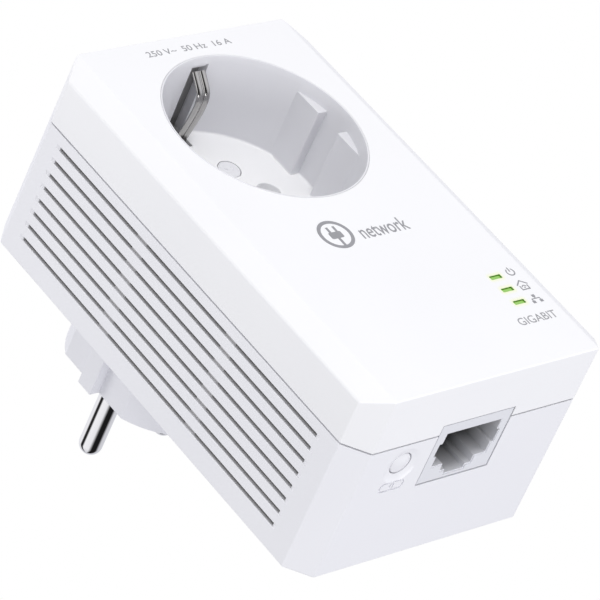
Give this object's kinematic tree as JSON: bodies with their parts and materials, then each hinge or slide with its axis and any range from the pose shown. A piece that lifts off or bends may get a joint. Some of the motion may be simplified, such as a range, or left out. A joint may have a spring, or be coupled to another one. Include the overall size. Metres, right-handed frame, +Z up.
{
  "type": "powerline adapter",
  "caption": "Plug-in powerline network adapter with an earthed through socket, a network jack and a pair button on its lower end, and vented sides.",
  "frame": {"origin": "centre of the plug's engagement face, on the axis of the plug and of the through socket, midway between the pins", "axes": "+Y the way the plug pins point, into the wall; -Y the front face; +Z up along the case, with the socket above and the network jack on the lower end; +X right as seen from the front"},
  "size_m": [0.0604, 0.0818, 0.099],
  "materials": {
    "case_white": "satin",
    "housing_white": "satin",
    "socket_white": "satin",
    "cap_white": "satin",
    "plug_white": "satin",
    "button_white": "satin",
    "jack_white": "satin",
    "shutter_grey": "satin",
    "carrier_cream": "matt",
    "label_silver": "printed film",
    "clip_nickel": "nickel plate, satin",
    "pin_nickel": "nickel plate, polished",
    "contact_brass": "stamped",
    "comb_gold": "gold flash",
    "screw_steel": "zinc plated",
    "spring_steel": "drawn wire",
    "light_guide_clear": "clear, lit",
    "led_epoxy": "cast",
    "board_laminate": "solder mask",
    "chip_black": "moulded",
    "heatsink_aluminium": "extruded",
    "crystal_can": "drawn can",
    "winding_amber": "taped winding",
    "ferrite_brown": "ferrite",
    "capacitor_sleeve": "shrink sleeve",
    "film_yellow": "moulded box",
    "varistor_blue": "dipped",
    "fuse_tan": "ceramic tube"
  },
  "bodies": {
    "case": {"bridge_rectifier": "chip_black", "bulk_capacitor_1": "capacitor_sleeve", "bulk_capacitor_2": "capacitor_sleeve", "case_screw_lower_left": "screw_steel", "case_screw_lower_right": "screw_steel", "case_screw_upper_left": "screw_steel", "case_screw_upper_right": "screw_steel", "contact_carrier": "carrier_cream", "coupling_transformer": "ferrite_brown", "crystal": "crystal_can", "earth_bridge": "clip_nickel", "front_cover": "case_white", "fuse": "fuse_tan", "heatsink": "heatsink_aluminium", "jack_contact_comb": "comb_gold", "led_house": "led_epoxy", "led_network": "led_epoxy", "led_power": "led_epoxy", "light_guide": "light_guide_clear", "main_board": "board_laminate", "memory": "chip_black", "network_jack": "jack_white", "network_magnetics": "chip_black", "noise_choke": "ferrite_brown", "optocoupler": "chip_black", "plug_base": "plug_white", "plug_earth_bottom": "clip_nickel", "plug_earth_top": "clip_nickel", "plug_pin_left": "pin_nickel", "plug_pin_right": "pin_nickel", "power_link_left": "contact_brass", "power_link_right": "contact_brass", "processor": "chip_black", "push_switch": "chip_black", "rating_label": "label_silver", "rear_housing": "housing_white", "screw_cap_lower": "cap_white", "screw_cap_upper": "cap_white", "shutter_spring": "spring_steel", "socket_contact_left": "contact_brass", "socket_contact_right": "contact_brass", "socket_cup": "socket_white", "socket_screw_lower": "screw_steel", "socket_screw_upper": "screw_steel", "suppression_capacitor": "film_yellow", "switching_transformer": "winding_amber", "varistor": "varistor_blue"},
    "button": {"pair_button": "button_white", "switch_plunger": "chip_black"},
    "shutter": {"shutter": "shutter_grey"},
    "clip_top": {"earth_clip_top": "clip_nickel"},
    "clip_bottom": {"earth_clip_bottom": "clip_nickel"}
  },
  "joints": [
    {"name": "button_press", "type": "slide", "parent": "case", "child": "button", "axis": [0, 0, 1], "range_m": [0, 0.0006], "stiffness_N_per_m": 2500},
    {"name": "shutter_turn", "type": "hinge", "parent": "case", "child": "shutter", "pos_m": [0, -0.0411, 0], "axis": [0, 1, 0], "range_deg": [0, 38], "stiffness_Nm_per_rad": 0.002, "deforming": ["shutter_spring"]},
    {"name": "clip_top_flex", "type": "hinge", "parent": "case", "child": "clip_top", "pos_m": [0, -0.0262, 0.0179], "axis": [-1, 0, 0], "range_deg": [0, 1.5], "stiffness_Nm_per_rad": 3},
    {"name": "clip_bottom_flex", "type": "hinge", "parent": "case", "child": "clip_bottom", "pos_m": [0, -0.0262, -0.0179], "axis": [1, 0, 0], "range_deg": [0, 1.5], "stiffness_Nm_per_rad": 3}
  ]
}
